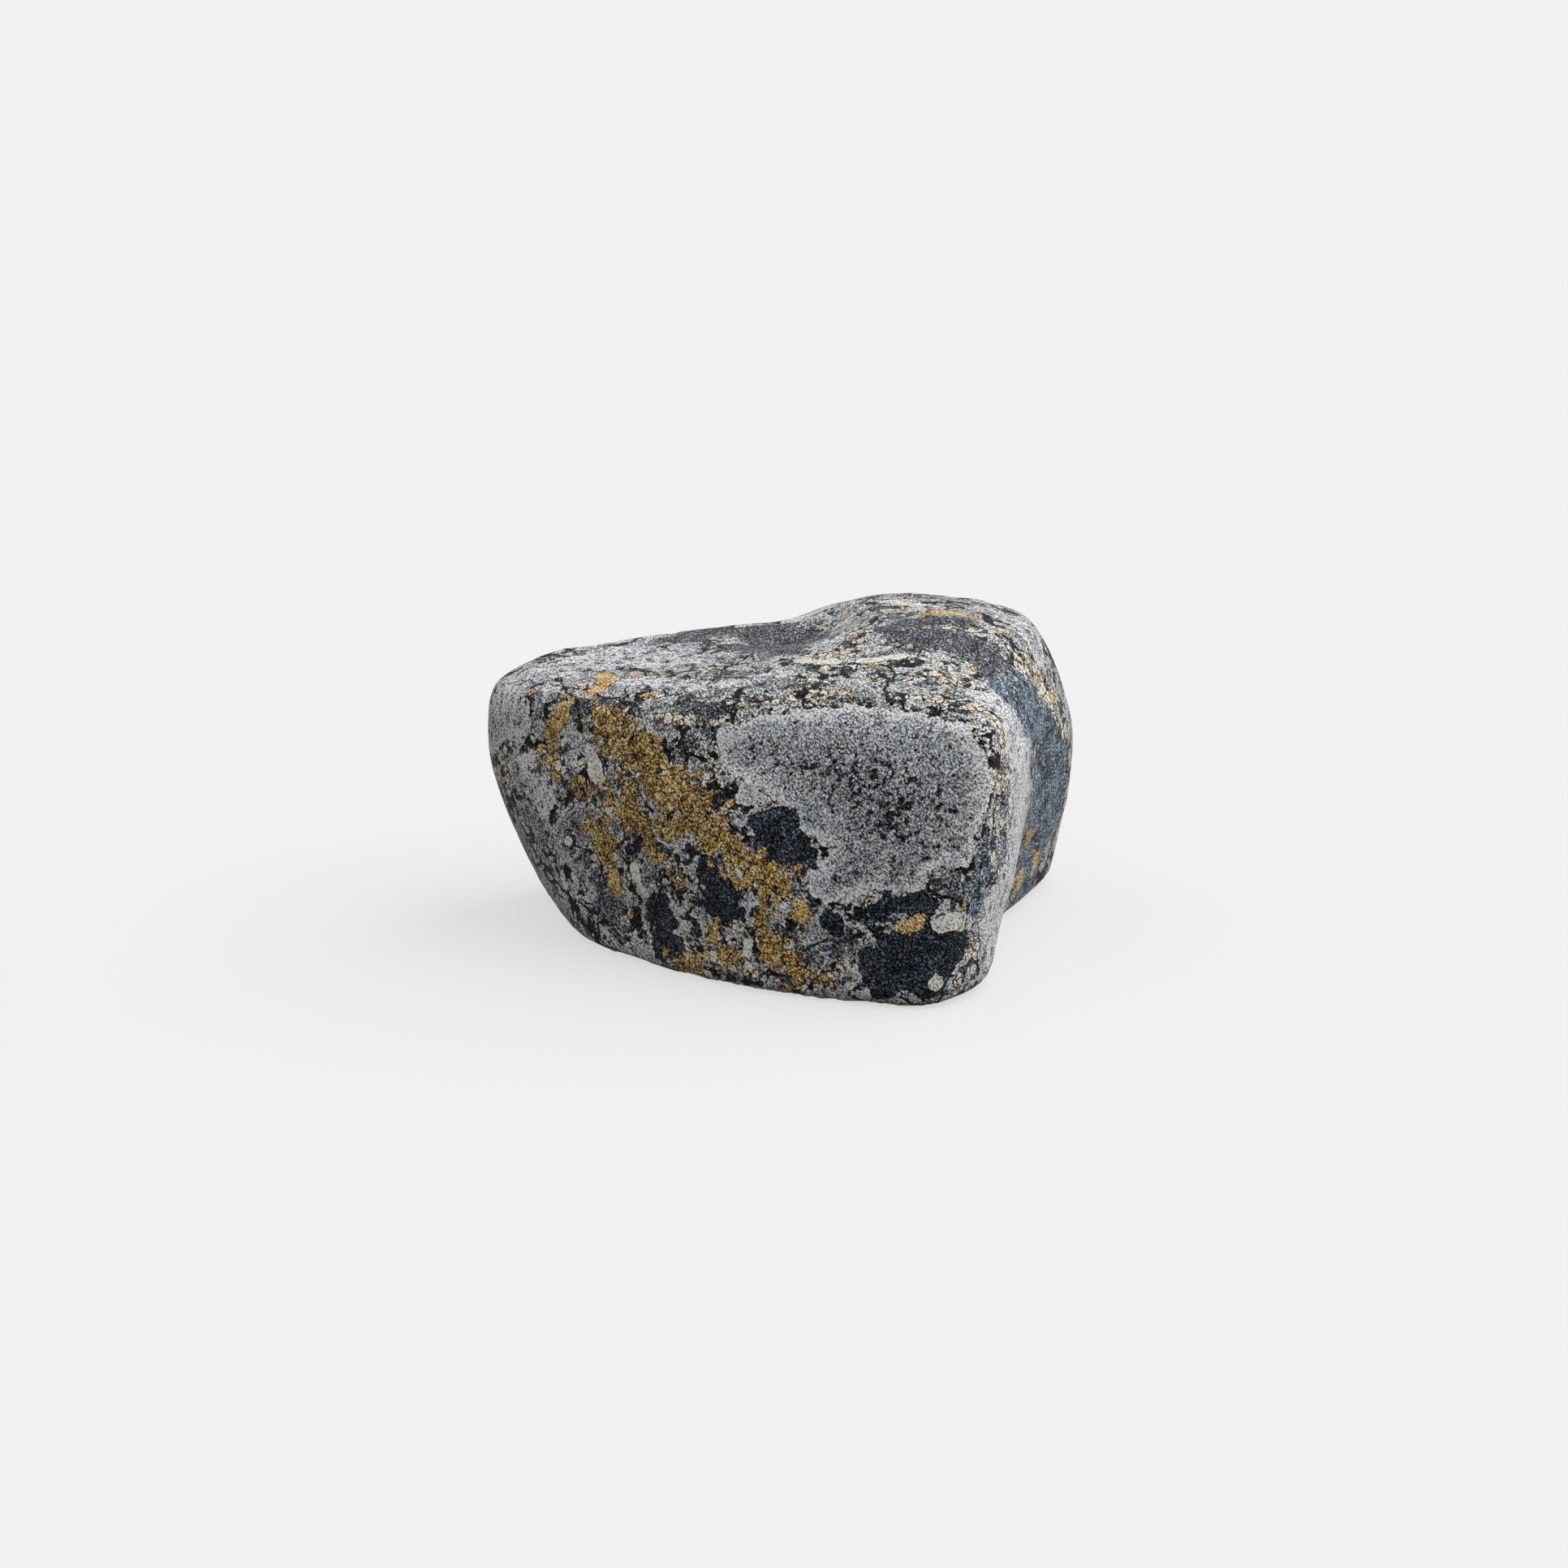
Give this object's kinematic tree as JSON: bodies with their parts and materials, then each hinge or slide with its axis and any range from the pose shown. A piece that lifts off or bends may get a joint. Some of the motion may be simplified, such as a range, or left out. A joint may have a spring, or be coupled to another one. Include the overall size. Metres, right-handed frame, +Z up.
{
  "type": "rock-shaped pouf",
  "caption": "Soft foam floor seat shaped like a boulder, low seat on the left and a taller shoulder on the right, in a fitted fabric cover printed like lichen on stone.",
  "frame": {"origin": "middle of the bounding box in plan, on the floor", "axes": "+X to the right and +Y away for whoever faces the broad front as the picture shows it, +Z up; +X is also the longest extent and +Z the shortest"},
  "size_m": [0.8198, 0.7146, 0.4113],
  "materials": {
    "cover_fabric": "short-pile stretch fabric, matt, with a mottled print of grey, charcoal, ochre and cream patches"
  },
  "bodies": {
    "root": {"pouf": "cover_fabric"}
  },
  "joints": []
}
